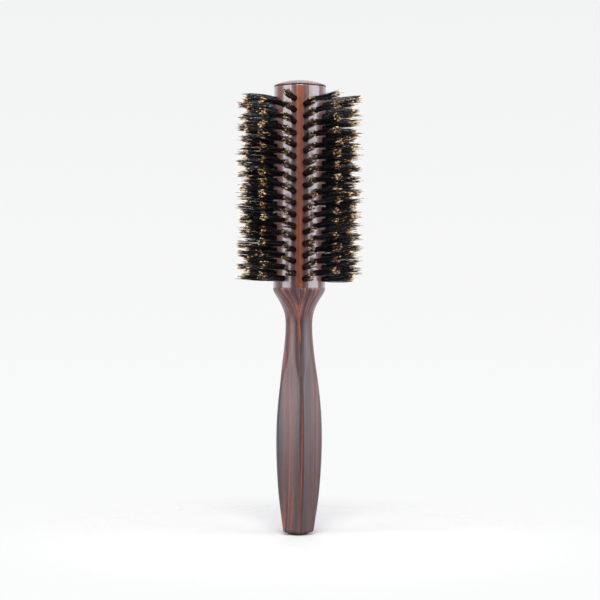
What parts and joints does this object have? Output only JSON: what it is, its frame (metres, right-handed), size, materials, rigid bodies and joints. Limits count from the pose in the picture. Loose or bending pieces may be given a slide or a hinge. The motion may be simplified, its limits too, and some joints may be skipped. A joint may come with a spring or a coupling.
{
  "type": "round barrel hairbrush",
  "caption": "Round hairbrush: a wooden barrel set with staggered rows of dark bristle tufts, a domed end cap and a slim flared handle with flats along the grip.",
  "frame": {"origin": "centre of the flat end of the handle, on the brush's axis", "axes": "+Z along the brush's axis from the handle to the barrel's domed end; -Y is the front, midway between two rows of tufts; +X to the right seen from the front"},
  "size_m": [0.0624, 0.0618, 0.235],
  "materials": {
    "handle_wood": "satin",
    "barrel_wood": "gloss",
    "cap_wood": "gloss",
    "bristle": "matte"
  },
  "bodies": {
    "root": {"handle": "handle_wood", "barrel": "barrel_wood", "end_cap": "cap_wood", "tuft_row_01": "bristle", "tuft_row_02": "bristle", "tuft_row_03": "bristle", "tuft_row_04": "bristle", "tuft_row_05": "bristle", "tuft_row_06": "bristle", "tuft_row_07": "bristle", "tuft_row_08": "bristle", "tuft_row_09": "bristle", "tuft_row_10": "bristle", "tuft_row_11": "bristle", "tuft_row_12": "bristle", "tuft_row_13": "bristle", "tuft_row_14": "bristle"}
  },
  "joints": []
}
